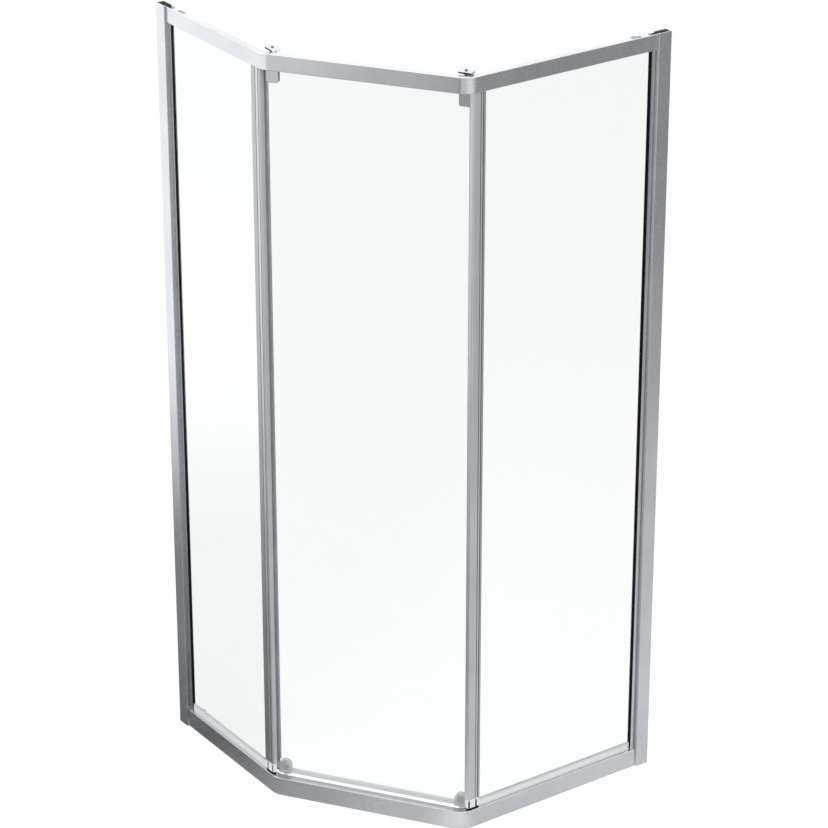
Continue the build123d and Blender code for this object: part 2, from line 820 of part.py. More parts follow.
def main():
    """Write one STEP file for each node."""
    os.makedirs("parts", exist_ok=True)
    for name, shape in make_parts().items():
        export_step(shape, f"parts/{name}.step")


main()
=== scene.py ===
import json
import math

import bpy
import numpy as np
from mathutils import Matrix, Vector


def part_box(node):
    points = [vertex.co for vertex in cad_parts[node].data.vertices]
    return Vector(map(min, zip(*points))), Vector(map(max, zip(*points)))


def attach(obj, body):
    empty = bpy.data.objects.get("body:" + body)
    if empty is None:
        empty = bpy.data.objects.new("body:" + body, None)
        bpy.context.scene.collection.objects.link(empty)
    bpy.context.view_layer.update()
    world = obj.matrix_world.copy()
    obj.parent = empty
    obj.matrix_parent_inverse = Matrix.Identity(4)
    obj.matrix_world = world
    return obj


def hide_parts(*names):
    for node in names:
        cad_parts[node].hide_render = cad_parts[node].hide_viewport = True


# A pentagonal shower enclosure in a room corner, in metres, Z up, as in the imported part.
# Depth is measured inwards from the rails' outer faces, and reach is measured from a wall.

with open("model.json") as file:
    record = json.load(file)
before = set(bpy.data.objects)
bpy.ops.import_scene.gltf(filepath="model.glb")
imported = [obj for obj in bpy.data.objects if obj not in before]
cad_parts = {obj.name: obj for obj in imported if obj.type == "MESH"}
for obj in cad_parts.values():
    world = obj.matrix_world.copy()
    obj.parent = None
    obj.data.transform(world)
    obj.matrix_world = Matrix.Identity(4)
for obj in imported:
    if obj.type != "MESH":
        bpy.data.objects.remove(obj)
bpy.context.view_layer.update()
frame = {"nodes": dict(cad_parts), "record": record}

# Plan of the enclosure
profile_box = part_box("wall_profile_left")
rail_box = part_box("top_rail")
wall_x = profile_box[0][0]
wall_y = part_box("wall_profile_right")[1][1]
profile_front = profile_box[0][1]
front_y = rail_box[0][1]
front_x = rail_box[1][0]
rail_top = rail_box[1][2]
left_panel = 0.461
right_panel = 0.588
bend_radius = 0.050
mm = 0.001

corner_left = np.array([wall_x + left_panel, front_y])
corner_right = np.array([front_x, wall_y - right_panel])
middle_run = corner_right - corner_left
middle_length = float(np.hypot(*middle_run))
along_middle = middle_run / middle_length
into_middle = np.array([-along_middle[1], along_middle[0]])
turn_left = math.atan2(middle_run[1], middle_run[0])
turn_right = math.pi / 2 - turn_left

# Rails
rail_start = 37.3 * mm
rail_wall = 2 * mm
rail_rounding = 1.2 * mm
top_height = rail_top - rail_box[0][2]
top_depth = 16 * mm
bottom_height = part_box("bottom_rail")[1][2]
bottom_depth = 21 * mm
channel_start = 60 * mm
track_depth = 34 * mm
track_lead = 45 * mm
track_floor = rail_top - 22 * mm
track_lip = 3 * mm
lip_near = 43 * mm
groove_half = 7 * mm
rib_height = 11 * mm
rib_end = 84 * mm
sill_floor = 3 * mm
overlap = 0.1 * mm

# Wall profiles
profile_wall = 2 * mm
profile_width = 37 * mm
profile_back = 17.8 * mm
profile_lip = 1.7 * mm
play = 0.3 * mm

# Panes and seals
glass = 5 * mm
glass_depth = 7 * mm
glass_edge = 0.6 * mm
glass_start = 44 * mm
seal_wall = 1.5 * mm
seal_grip = 7 * mm
seal_start = 55.3 * mm
lead_grip = 4 * mm

# Posts
post_width = 36 * mm
post_front = 2.5 * mm
post_back = 15.5 * mm
post_left = 13 * mm
post_right = 15.7 * mm
post_round = 5 * mm
post_slot = 12 * mm
groove_width = 2 * mm
groove_depth = 1.2 * mm
GROOVES = {"left": (17 * mm, 28.5 * mm), "right": (6 * mm, 12.5 * mm)}

# Door and its fittings
axis_left = 15.6 * mm
axis_right = middle_length - track_depth * math.tan(turn_right / 2)
guide_half = 16 * mm
guide_centre = 72.5 * mm
clip_half = 15.5 * mm
clip_round = 6 * mm
edge_front = 7.5 * mm
edge_back = 3 * mm
edge_half = 4.5 * mm
cap_half = 18.5 * mm
cap_side = 11 * mm
cap_leg = 4 * mm
jaw_face = 7.5 * mm
pad_face = 3.5 * mm
pane_before = 18 * mm
pane_after = 14 * mm
lead_half = 4 * mm
lead_tip = 2 * mm

# Guides, their buttons and rollers
guide_low = 51 * mm
guide_bridge = 58 * mm
guide_face = 8 * mm
guide_step = 3.9 * mm
stub_radius = 3 * mm
stub_low = 6.5 * mm
button_radius = 10.5 * mm
button_back = 6.5 * mm
button_face = 9.5 * mm
roller_radius = 6.3 * mm
roller_bore = 3.08 * mm
roller_low = 8 * mm
roller_high = 20 * mm

# Carriages
boss_radius = 6 * mm
head_radius = 3.6 * mm
head_height = 2.4 * mm
shank_radius = 2 * mm
shank_low = 8.4 * mm
wheel_radius = 6.5 * mm
wheel_bore = 1.58 * mm
wheel_hub = 3.2 * mm
wheel_dish = 3.8 * mm
wheel_rim = 5.2 * mm
wheel_tread = 5.6 * mm
wheel_half = 3 * mm

# Caps on the rail and buffers behind it
rail_cap_start = 83 * mm
rail_cap_end = 107 * mm
rail_cap_height = 1.5 * mm
buffer_radius = 7.5 * mm
buffer_reach = 69 * mm
buffer_depth = 28.8 * mm


def on_left(reach, depth, height):
    """Row-frame points of a reach, depth and height on the left panel."""
    return np.stack([wall_x + reach, front_y + depth, height], axis=-1)


def on_right(reach, depth, height):
    """Row-frame points of a reach, depth and height on the right panel."""
    return np.stack([front_x - depth, wall_y - reach, height], axis=-1)


def on_middle(along, depth, height):
    """Row-frame points of a distance from the left corner, a depth and a height."""
    x = corner_left[0] + along * along_middle[0] + depth * into_middle[0]
    y = corner_left[1] + along * along_middle[1] + depth * into_middle[1]
    return np.stack([x, y, height], axis=-1)


def on_door_left(across, inward, height):
    """Row-frame points about the trailing axis; across points to the door's middle."""
    return on_middle(axis_left + across, track_depth + inward, height)


def on_door_right(across, inward, height):
    """Row-frame points about the leading axis; across points to the door's middle."""
    return on_middle(axis_right - across, track_depth + inward, height)


def on_carriage_left(x, y, height):
    """Row-frame points about the trailing carriage, in line with the left rail."""
    centre = on_middle(axis_left, track_depth, 0.0)
    return np.stack([centre[0] + x, centre[1] + y, height], axis=-1)


def on_carriage_right(x, y, height):
    """Row-frame points about the leading carriage, in line with the right rail."""
    centre = on_middle(axis_right, track_depth, 0.0)
    return np.stack([centre[0] - y, centre[1] + x, height], axis=-1)


SIDES = {
    "left": (on_left, on_door_left, on_carriage_left, left_panel - post_left),
    "right": (on_right, on_door_right, on_carriage_right, right_panel - post_right),
}


# Outlines

def rounded(corners, radii, steps=6):
    """Closed outline in which each corner is an arc tangent to its two sides.

    The arc's centre lies on the corner's bisector, at radius / sin(half the angle), and the arc
    is the circular blend of its first and last radius vectors.
    """
    corners = np.asarray(corners, dtype=float)
    radii = np.broadcast_to(radii, len(corners))
    pieces = []
    befores, afters = np.roll(corners, 1, 0), np.roll(corners, -1, 0)
    for corner, before, after, radius in zip(corners, befores, afters, radii):
        if radius <= 0:
            pieces.append(corner[None])
            continue
        to_before = (before - corner) / np.linalg.norm(before - corner)
        to_after = (after - corner) / np.linalg.norm(after - corner)
        half = math.acos(float(np.clip(to_before @ to_after, -1, 1))) / 2
        bisector = (to_before + to_after) / np.linalg.norm(to_before + to_after)
        centre = corner + bisector * radius / math.sin(half)
        first = corner + to_before * radius / math.tan(half) - centre
        last = corner + to_after * radius / math.tan(half) - centre
        sweep = math.pi - 2 * half
        share = np.linspace(0, 1, steps + 1)[:, None]
        blend = first * np.sin((1 - share) * sweep) + last * np.sin(share * sweep)
        pieces.append(centre + blend / math.sin(sweep))
    outline = np.concatenate(pieces)
    return outline if signed_area(outline) > 0 else outline[::-1]


def signed_area(outline):
    """Area of a closed outline, positive where it runs anticlockwise."""
    x, y = outline.T
    return float(np.sum(x * np.roll(y, -1) - np.roll(x, -1) * y)) / 2


def rectangle(x0, x1, y0, y1, radius, steps=6):
    """Outline of a rectangle with rounded corners."""
    return rounded([(x0, y0), (x1, y0), (x1, y1), (x0, y1)], radius, steps)


def inset(outline, distance):
    """Anticlockwise outline moved inwards: each point slides along the mitre of its two sides."""
    forward = np.roll(outline, -1, 0) - outline
    forward = forward / np.maximum(np.linalg.norm(forward, axis=1, keepdims=True), 1e-12)
    normal = np.stack([-forward[:, 1], forward[:, 0]], axis=1)
    before = np.roll(normal, 1, 0)
    mitre = (normal + before) / np.maximum(1 + np.sum(normal * before, 1, keepdims=True), 0.4)
    return outline + mitre * distance


# Surfaces

def rings_to_shell(rings, along, around, capped=True):
    """Quads between neighbouring closed rings, with a flat cap on the first and the last.

    Returns points, faces and one texture coordinate for each face corner. The coordinate is the
    distance along the rings' path and the distance round the ring, both in metres.
    """
    count, size = rings.shape[:2]
    points = rings.reshape(-1, 3)
    row, column = np.meshgrid(np.arange(count - 1), np.arange(size), indexing="ij")
    after = (column + 1) % size
    here, beyond = row * size, (row + 1) * size
    quads = np.stack([here + column, here + after, beyond + after, beyond + column], -1).reshape(-1, 4)
    u = np.stack([along[row], along[row], along[row + 1], along[row + 1]], -1).reshape(-1)
    v = np.stack([around[column], around[column + 1], around[column + 1], around[column]], -1).reshape(-1)
    faces = quads.tolist()
    corners = np.stack([u, v], -1)
    if capped:
        for index, order in ((0, -1), (count - 1, 1)):
            loop = np.arange(size)[::order] + index * size
            faces.append(loop.tolist())
            cap = np.stack([np.full(size, along[index]), around[:-1][::order]], -1)
            corners = np.concatenate([corners, cap])
    p = points[quads]
    volume = np.sum(p[:, 0] * np.cross(p[:, 1] - p[:, 0], p[:, 2] - p[:, 0]))
    volume += np.sum(p[:, 0] * np.cross(p[:, 2] - p[:, 0], p[:, 3] - p[:, 0]))
    if capped:
        for face in faces[-2:]:
            fan = points[face] - points[face[0]]
            volume += np.sum(points[face[0]] * np.cross(fan[1:-1], fan[2:]))
    if volume < 0:
        corners = reversed_corners(corners, faces)
        faces = [face[::-1] for face in faces]
    return points, faces, corners


def reversed_corners(corners, faces):
    """Texture coordinates for faces whose corners are read backwards."""
    pieces = []
    start = 0
    for face in faces:
        pieces.append(corners[start:start + len(face)][::-1])
        start += len(face)
    return np.concatenate(pieces)


def lengths(points, closed=False):
    """Distance run along a line of points, from 0."""
    if closed:
        points = np.concatenate([points, points[:1]])
    steps = np.linalg.norm(np.diff(points, axis=0), axis=1)
    return np.concatenate([[0.0], np.cumsum(steps)])


def prism(outline, low, high, place, edge=0.4 * mm, swap=None):
    """Outline carried from low to high, whose two ends are rounded by quarter circles.

    The ring at angle t of the quarter circle is inset by edge * (1 - sin t) and stands
    edge * (1 - cos t) from the end. swap maps (first, second, third) before placing.
    """
    turn = np.linspace(0, math.pi / 2, 5)
    insets = edge * (1 - np.sin(turn))
    rises = edge * (1 - np.cos(turn))
    insets = np.concatenate([insets, insets[::-1]])
    heights = np.concatenate([low + rises, high - rises[::-1]])
    rings = []
    for amount, height in zip(insets, heights):
        ring = inset(outline, amount)
        first, second, third = ring[:, 0], ring[:, 1], np.full(len(ring), height)
        if swap:
            first, second, third = swap(first, second, third)
        rings.append(place(first, second, third))
    return rings_to_shell(np.array(rings), heights, lengths(outline, closed=True))


def facing(first, second, third):
    """Turns an outline drawn across and up, and carried inwards, into across, inwards and up."""
    return first, third, second


def sideways(first, second, third):
    """Turns an outline drawn in depth and height, and carried along reach, into reach, depth, height."""
    return third, first, second


def turned(profile, place, axis="up", centre=(0.0, 0.0, 0.0), steps=48):
    """Surface of revolution: each profile point (radius, offset) runs round the axis.

    x = radius * cos t and y = radius * sin t, in the plane square to the axis, which is up,
    inward or across in the local frame of place.
    """
    angle = np.linspace(0, 2 * math.pi, steps, endpoint=False)
    profile = np.asarray(profile, dtype=float)
    radius = profile[:, 0][:, None]
    offset = np.broadcast_to(profile[:, 1][:, None], (len(profile), steps))
    x, y = radius * np.cos(angle), radius * np.sin(angle)
    local = {"up": (x, y, offset), "inward": (x, offset, y), "across": (offset, x, y)}[axis]
    rings = place(local[0] + centre[0], local[1] + centre[1], local[2] + centre[2])
    around = np.linspace(0, 2 * math.pi * float(profile[:, 0].max()), steps + 1)
    return rings_to_shell(rings, lengths(profile), around)


def soft_profile(radius, low, high, edge, bore=None):
    """Profile of a cylinder with rounded rims, from its lower middle to its upper middle."""
    turn = np.linspace(0, math.pi / 2, 6)
    rim_out = radius - edge * (1 - np.sin(turn))
    rim_up = low + edge * (1 - np.cos(turn))
    outer = np.concatenate([
        np.stack([rim_out, rim_up], -1),
        np.stack([rim_out[::-1], high - (rim_up[::-1] - low)], -1),
    ])
    inner = 0.02 * mm if bore is None else bore
    shape = np.concatenate([[(inner, low)], outer, [(inner, high)]])
    return shape if bore is None else np.concatenate([shape, [(bore, low)]])


def bend_path(left_reach, right_reach, smooth=True, steps=20):
    """Outer plan line of the rails and its inward normals, between two reaches.

    Smooth bends are arcs of the bend radius. Each sharp bend is one point whose normal is the
    mitre, 1 / cos(half the turn) long, so that every depth stays parallel to its run.
    """
    starts = [np.array([wall_x + left_reach, front_y]), np.array([front_x, wall_y - right_reach])]
    headings = [0.0, turn_left, math.pi / 2]
    points = [starts[0][None]]
    normals = [normal_of(np.array([0.0]))]
    for corner, before, after in ((corner_left, *headings[:2]), (corner_right, *headings[1:])):
        turn = after - before
        if smooth:
            heading = np.linspace(before, after, steps)
            tangent = bend_radius * math.tan(turn / 2)
            start = corner - tangent * np.array([math.cos(before), math.sin(before)])
            centre = start + bend_radius * normal_of(np.array([before]))[0]
            points.append(centre - bend_radius * normal_of(heading))
            normals.append(normal_of(heading))
        else:
            points.append(corner[None])
            normals.append(normal_of(np.array([before + turn / 2])) / math.cos(turn / 2))
    points.append(starts[1][None])
    normals.append(normal_of(np.array([math.pi / 2])))
    return np.concatenate(points), np.concatenate(normals)


def normal_of(heading):
    """Unit vectors to the left of each heading."""
    return np.stack([-np.sin(heading), np.cos(heading)], -1)


def rail(section, left_reach, right_reach, smooth=True):
    """Section in depth and height, carried along the rails' plan."""
    points, normals = bend_path(left_reach, right_reach, smooth)
    plan = points[:, None] + normals[:, None] * section[None, :, :1]
    height = np.broadcast_to(section[None, :, 1:], plan[..., :1].shape)
    return rings_to_shell(np.concatenate([plan, height], -1), lengths(points), lengths(section, closed=True))


# Pieces

def joined(shells):
    """Points and faces of several shells as one mesh."""
    faces = []
    base = 0
    for points, shell_faces, _ in shells:
        faces.extend([[base + index for index in face] for face in shell_faces])
        base += len(points)
    return np.concatenate([shell[0] for shell in shells]), faces


def piece(name, shells, body, material, nodes=(), angle=32):
    """Mesh object from shells, riding on a body and standing for CAD nodes."""
    points, faces = joined(shells)
    mesh = bpy.data.meshes.new(name)
    mesh.from_pydata(points.tolist(), [], faces)
    layer = mesh.uv_layers.new(name="surface")
    layer.data.foreach_set("uv", np.concatenate([shell[2] for shell in shells]).ravel())
    mesh.polygons.foreach_set("use_smooth", np.ones(len(mesh.polygons), dtype=bool))
    mesh.set_sharp_from_angle(angle=math.radians(angle))
    mesh.materials.append(material)
    mesh.validate()
    obj = bpy.data.objects.new(name, mesh)
    bpy.context.scene.collection.objects.link(obj)
    even = obj.modifiers.new("even_normals", "WEIGHTED_NORMAL")
    even.mode = "FACE_AREA"
    even.weight = 100
    even.keep_sharp = True
    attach(obj, body)
    if nodes:
        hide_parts(*nodes)
    return obj


# Materials

def shader(name, colour, roughness, **sockets):
    """Material with one Principled shader; uniform values sit on its own sockets."""
    material = bpy.data.materials.new(name)
    material.use_nodes = True
    node = material.node_tree.nodes["Principled BSDF"]
    node.inputs["Base Color"].default_value = (*colour, 1.0)
    node.inputs["Roughness"].default_value = roughness
    for socket, value in sockets.items():
        node.inputs[socket.replace("_", " ")].default_value = value
    return material


def noise(material, scale, stretch=(1, 1, 1), coords="Object", detail=4.0, roughness=0.6):
    """Noise on object or surface coordinates, stretched before it is sampled."""
    tree = material.node_tree
    where = tree.nodes.new("ShaderNodeTexCoord")
    mapping = tree.nodes.new("ShaderNodeMapping")
    mapping.inputs["Scale"].default_value = stretch
    texture = tree.nodes.new("ShaderNodeTexNoise")
    texture.inputs["Scale"].default_value = scale
    texture.inputs["Detail"].default_value = detail
    texture.inputs["Roughness"].default_value = roughness
    tree.links.new(where.outputs[coords], mapping.inputs["Vector"])
    tree.links.new(mapping.outputs["Vector"], texture.inputs["Vector"])
    return texture.outputs["Fac"]


def between(material, factor, low, high):
    """A number that follows a noise from low to high."""
    node = material.node_tree.nodes.new("ShaderNodeMapRange")
    node.inputs["From Min"].default_value = 0.3
    node.inputs["From Max"].default_value = 0.7
    node.inputs["To Min"].default_value = low
    node.inputs["To Max"].default_value = high
    material.node_tree.links.new(factor, node.inputs["Value"])
    return node.outputs["Result"]


def tinted(material, factor, dark, light):
    """Base colour that follows a noise from dark to light."""
    ramp = material.node_tree.nodes.new("ShaderNodeValToRGB")
    ramp.color_ramp.elements[0].position = 0.32
    ramp.color_ramp.elements[0].color = (*dark, 1.0)
    ramp.color_ramp.elements[1].position = 0.68
    ramp.color_ramp.elements[1].color = (*light, 1.0)
    links = material.node_tree.links
    links.new(factor, ramp.inputs["Fac"])
    links.new(ramp.outputs["Color"], material.node_tree.nodes["Principled BSDF"].inputs["Base Color"])


def rough(material, factor, low, high):
    """Roughness that follows a noise."""
    target = material.node_tree.nodes["Principled BSDF"].inputs["Roughness"]
    material.node_tree.links.new(between(material, factor, low, high), target)


def bumped(material, factor, height, strength=1.0):
    """Relief of a given height, in metres, that follows a noise."""
    bump = material.node_tree.nodes.new("ShaderNodeBump")
    bump.inputs["Strength"].default_value = strength
    bump.inputs["Distance"].default_value = height
    links = material.node_tree.links
    links.new(factor, bump.inputs["Height"])
    links.new(bump.outputs["Normal"], material.node_tree.nodes["Principled BSDF"].inputs["Normal"])


def satin_aluminium(name, coords, stretch, shade=1.0, low=0.23, high=0.28):
    """Anodised aluminium with a fine drawn grain along the profile. Shade scales its colour; its darker
    copies paint the shade of the posts' grooves and recessed bands.
    """
    material = shader(name, (0.56, 0.58, 0.60), 0.34, Metallic=0.85)
    dark = tuple(shade * level for level in (0.53, 0.55, 0.575))
    light = tuple(shade * level for level in (0.60, 0.62, 0.64))
    grain = noise(material, 2400, stretch, coords, detail=3.0)
    cloud = noise(material, 5, (1, 1, 1), "Object", detail=3.0)
    tinted(material, cloud, dark, light)
    rough(material, grain, low, high)
    bumped(material, grain, 0.01 * mm, 0.2)
    return material


def clear_glass(name, tint):
    """Clear float glass. Light passes straight through its shadow, as through a thin pane."""
    material = shader(name, tint, 0.0, Transmission_Weight=1.0, IOR=1.45)
    haze = noise(material, 3, (1, 1, 1), "Object", detail=2.0)
    rough(material, haze, 0.0, 0.015)
    tree = material.node_tree
    solid = tree.nodes["Principled BSDF"]
    path = tree.nodes.new("ShaderNodeLightPath")
    through = tree.nodes.new("ShaderNodeBsdfTransparent")
    through.inputs["Color"].default_value = (0.93, 0.96, 0.95, 1.0)
    mix = tree.nodes.new("ShaderNodeMixShader")
    tree.links.new(path.outputs["Is Shadow Ray"], mix.inputs["Fac"])
    tree.links.new(solid.outputs["BSDF"], mix.inputs[1])
    tree.links.new(through.outputs["BSDF"], mix.inputs[2])
    tree.links.new(mix.outputs["Shader"], tree.nodes["Material Output"].inputs["Surface"])
    return material


def soft_clear(name, colour, through):
    """Translucent soft plastic of the seals, slightly milky, with an extruded surface."""
    material = shader(name, colour, 0.32, Transmission_Weight=through, IOR=1.25)
    flow = noise(material, 300, (0.05, 1, 1), "UV", detail=3.0)
    rough(material, flow, 0.26, 0.42)
    bumped(material, flow, 0.05 * mm, 0.4)
    return material


def moulded(name, dark, light, low, high, grain=1800, **sockets):
    """Moulded plastic or rubber with a fine matt texture and faint uneven colour."""
    material = shader(name, light, high, **sockets)
    speckle = noise(material, grain, detail=3.0)
    cloud = noise(material, 40, detail=2.0)
    tinted(material, cloud, dark, light)
    rough(material, speckle, low, high)
    bumped(material, speckle, 0.03 * mm, 0.5)
    return material


def steel(name):
    """Stainless steel fittings with a fine brushed texture."""
    material = shader(name, (0.55, 0.56, 0.57), 0.3, Metallic=1.0)
    grain = noise(material, 1200, (1, 1, 0.08), detail=4.0)
    tinted(material, grain, (0.48, 0.49, 0.50), (0.62, 0.63, 0.64))
    rough(material, grain, 0.24, 0.40)
    bumped(material, grain, 0.02 * mm, 0.5)
    return material


rail_metal = satin_aluminium("rail_aluminium", "UV", (0.02, 1, 1))
profile_metal = satin_aluminium("profile_aluminium", "Object", (1, 1, 0.02))
post_metal = satin_aluminium("post_aluminium", "Object", (1, 1, 0.02), 0.92, 0.42, 0.50)
# Darker copy of the post metal for the band before each post's first groove: its darker colour paints the
# shade of a recessed band.
band_shade_metal = satin_aluminium("band_painted_shade_aluminium", "Object", (1, 1, 0.02), 0.68, 0.42, 0.50)
# Much darker copy of the post metal for the faces inside the posts' grooves: its dark colour paints the
# shade in the grooves.
groove_shade_metal = satin_aluminium("groove_painted_shade_aluminium", "Object", (1, 1, 0.02), 0.2)
pane_glass = clear_glass("pane_glass", (0.93, 0.945, 0.945))
seal_plastic = soft_clear("seal_plastic", (0.95, 0.96, 0.96), 0.35)
edge_plastic = soft_clear("edge_plastic", (0.42, 0.44, 0.45), 0.5)
guide_plastic = moulded("guide_plastic", (0.94, 0.95, 0.95), (0.98, 0.985, 0.985), 0.08, 0.16,
                        Transmission_Weight=0.85, IOR=1.3)
black_rubber = moulded("black_rubber", (0.003, 0.003, 0.003), (0.007, 0.007, 0.007), 0.60, 0.80,
                       Specular_IOR_Level=0.05)
black_plastic = moulded("black_plastic", (0.004, 0.004, 0.004), (0.009, 0.009, 0.009), 0.50, 0.65,
                        Specular_IOR_Level=0.08)
white_plastic = moulded("white_plastic", (0.82, 0.82, 0.81), (0.88, 0.88, 0.87), 0.35, 0.48)
grey_plastic = moulded("grey_plastic", (0.30, 0.31, 0.31), (0.37, 0.38, 0.38), 0.35, 0.5)
fitting_steel = steel("fitting_steel")


# Rails and profiles

def c_section():
    """Face, top and back of the top rail, open downwards, with rounded outer edges."""
    low = rail_top - top_height
    wall = rail_wall
    corners = [
        (wall, rail_top - wall), (wall, rail_top), (top_depth, rail_top), (top_depth, low),
        (top_depth - wall, low), (top_depth - wall, rail_top - wall),
    ]
    return rounded(corners, [0, 0, 0.8 * mm, 0.5 * mm, 0.5 * mm, 0.5 * mm], 4)


def strip(near, far, low, high, radius=0.4 * mm):
    """Section of a plain strip of rail."""
    return rectangle(near, far, low, high, radius, 3)


def face_section(low, high):
    """Section of a rail's outer face, rounded along both outer edges."""
    corners = [(0, low), (rail_wall, low), (rail_wall, high), (0, high)]
    return rounded(corners, [rail_rounding, 0.2 * mm, 0.2 * mm, rail_rounding], 6)


def make_top_rail():
    """Top rail: face, channel and the door's track."""
    lead = left_panel - track_lead
    far = lip_near + rail_wall
    floor = strip(top_depth - overlap, far, track_floor - rail_wall, track_floor)
    lip = strip(lip_near, far, track_floor - mm, track_floor + track_lip)
    shells = [
        rail(face_section(rail_top - top_height, rail_top), rail_start, rail_start),
        rail(c_section(), channel_start, channel_start),
        rail(floor, lead, channel_start, False),
        rail(lip, lead, channel_start, False),
    ]
    piece("top_rail_drawn", shells, "frame", rail_metal, ["top_rail"])


def make_bottom_rail():
    """Bottom rail: box section, groove and its two ribs."""
    lead = left_panel - track_lead
    groove_far = track_depth + groove_half + rail_wall
    box = rounded(
        [(0, 0), (bottom_depth, 0), (bottom_depth, bottom_height), (0, bottom_height)],
        [rail_rounding, 0.3 * mm, 0.8 * mm, rail_rounding], 6)
    floor = strip(bottom_depth - overlap, groove_far, 0, sill_floor)
    shells = [rail(box, rail_start, rail_start), rail(floor, lead, channel_start, False)]
    for near in (track_depth - groove_half - rail_wall, track_depth + groove_half):
        rib = strip(near, near + rail_wall, sill_floor - mm, sill_floor + rib_height, 0.5 * mm)
        shells.append(rail(rib, lead, rib_end, False))
    piece("bottom_rail_drawn", shells, "frame", rail_metal, ["bottom_rail"])


def make_panes():
    """Fixed panes with ground edges."""
    low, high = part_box("side_glass_left")[0][2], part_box("side_glass_left")[1][2]
    for side, (place, _, _, corner) in SIDES.items():
        end = corner - post_width + post_slot
        outline = rectangle(glass_start, end, glass_depth, glass_depth + glass, glass_edge, 3)
        shell = prism(outline, low, high, place, glass_edge)
        piece(f"pane_{side}", [shell], "frame", pane_glass, [f"side_glass_{side}"])


def u_section(near, far, inner_near, inner_far, low, inner_low, high, radius):
    """U section in depth and height, open upwards."""
    corners = [
        (near, low), (far, low), (far, high), (inner_far, high),
        (inner_far, inner_low), (inner_near, inner_low), (inner_near, high), (near, high),
    ]
    return rounded(corners, [radius, radius, radius, radius / 2, 0, 0, radius / 2, radius], 4)


def make_sill_seals():
    """Clear seals under the fixed panes."""
    for side, (place, _, _, corner) in SIDES.items():
        low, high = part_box(f"sill_seal_{side}")[0][2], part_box(f"sill_seal_{side}")[1][2]
        near, far = glass_depth - seal_wall, glass_depth + glass + seal_wall
        back = glass_depth + glass
        section = u_section(near, far, glass_depth, back, low, high - seal_grip, high, 0.6 * mm)
        shell = prism(section, seal_start, corner - post_width - play, place, 0.3 * mm, sideways)
        name = f"sill_seal_{side}"
        piece(f"{name}_extruded", [shell], "frame", seal_plastic, [name])


def post_outline(side, corner):
    """Post section: rounded towards the corner, grooved along its face and slotted for the pane."""
    start = corner - post_width
    web = start + post_slot
    deep = post_front + groove_depth
    corners = [(start, post_front)]
    radii = [0.6 * mm]
    for place in GROOVES[side]:
        near = start + place
        far = near + groove_width
        corners += [(near, post_front), (near, deep), (far, deep), (far, post_front)]
        radii += [0.3 * mm, 0, 0, 0.3 * mm]
    corners += [(corner, post_front), (corner, post_back), (start, post_back)]
    radii += [post_round, 0.8 * mm, 0.6 * mm]
    back = glass_depth + glass
    corners += [(start, back), (web, back), (web, glass_depth), (start, glass_depth)]
    radii += [0.2 * mm, 0, 0, 0.2 * mm]
    return rounded(corners, radii, 6)


def make_posts():
    """Aluminium posts beside the door."""
    low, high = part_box("corner_post_left")[0][2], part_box("corner_post_left")[1][2]
    for side, (place, _, _, corner) in SIDES.items():
        shell = prism(post_outline(side, corner), low, high, place, 0.15 * mm)
        name = f"post_{side}_drawn"
        obj = piece(name, [shell], "frame", post_metal, [f"corner_post_{side}"])
        obj.data.materials.append(band_shade_metal)
        obj.data.materials.append(groove_shade_metal)
        # The face band before each post's first groove takes the band metal, whose darker colour paints the
        # shade of a recessed band.
        start = corner - post_width
        for polygon in obj.data.polygons:
            x, y, height = polygon.center
            reach, depth = (x - wall_x, y - front_y) if side == "left" else (wall_y - y, front_x - x)
            # Faces inside the grooves take the groove metal, whose dark colour paints the shade in the
            # grooves.
            in_groove = any(place < reach - start < place + groove_width for place in GROOVES[side])
            if in_groove and depth < post_front + groove_depth + 0.1 * mm and low + mm < height < high - mm:
                polygon.material_index = 2
            elif reach < start + GROOVES[side][0] and depth < post_front + 0.3 * mm:
                polygon.material_index = 1


def make_wall_profiles():
    """U profiles against the walls, with rounded noses."""
    wall, width, back = profile_wall, profile_width, profile_back
    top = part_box("wall_profile_left")[1][2]
    front = profile_front - front_y
    lip = width - profile_lip
    corners = [
        (0, front), (width, front), (width, -play), (lip, -play),
        (lip, front + wall), (wall, front + wall), (wall, back - wall), (width, back - wall),
        (width, back), (0, back),
    ]
    radii = mm * np.array([0.4, 1.2, 0.3, 0.2, 0.2, 0.2, 0.2, 0.4, 0.6, 0.4])
    outline = rounded(corners, radii, 6)
    for side, (place, *_) in SIDES.items():
        shell = prism(outline, 0, top, place, 0.2 * mm)
        obj = piece(f"wall_profile_{side}_drawn", [shell], "frame", profile_metal,
                    [f"wall_profile_{side}"])
        cut_screw_holes(obj, side, place, (front + back) / 2, wall)


def cut_screw_holes(obj, side, place, depth, wall):
    """Cut the holes that the record states for the wall screws."""
    mounts = [mount for mount in frame["record"]["mounts"] if mount["kind"] == "bolt_pattern"]
    shells = []
    for mount in mounts:
        if not mount["name"].endswith(side):
            continue
        rod = soft_profile(mount["dims"]["hole_r_mm"] * mm, -2 * wall, 3 * wall, 0.01 * mm)
        for step in (-0.5, 0.5):
            height = mount["pos_m"][2] + step * mount["dims"]["spacing_y_mm"] * mm
            shells.append(turned(rod, place, "across", (0.0, depth, height), 32))
    points, faces = joined(shells)
    mesh = bpy.data.meshes.new("hole_cutter")
    mesh.from_pydata(points.tolist(), [], faces)
    cutter = bpy.data.objects.new("hole_cutter", mesh)
    bpy.context.scene.collection.objects.link(cutter)
    even = obj.modifiers["even_normals"]
    even.show_viewport = False
    cut = obj.modifiers.new("holes", "BOOLEAN")
    cut.object = cutter
    cut.operation = "DIFFERENCE"
    cut.solver = "EXACT"
    bpy.context.view_layer.update()
    done = bpy.data.meshes.new_from_object(obj.evaluated_get(bpy.context.evaluated_depsgraph_get()))
    obj.modifiers.remove(cut)
    even.show_viewport = True
    obj.data = done
    bpy.data.objects.remove(cutter)


# Door

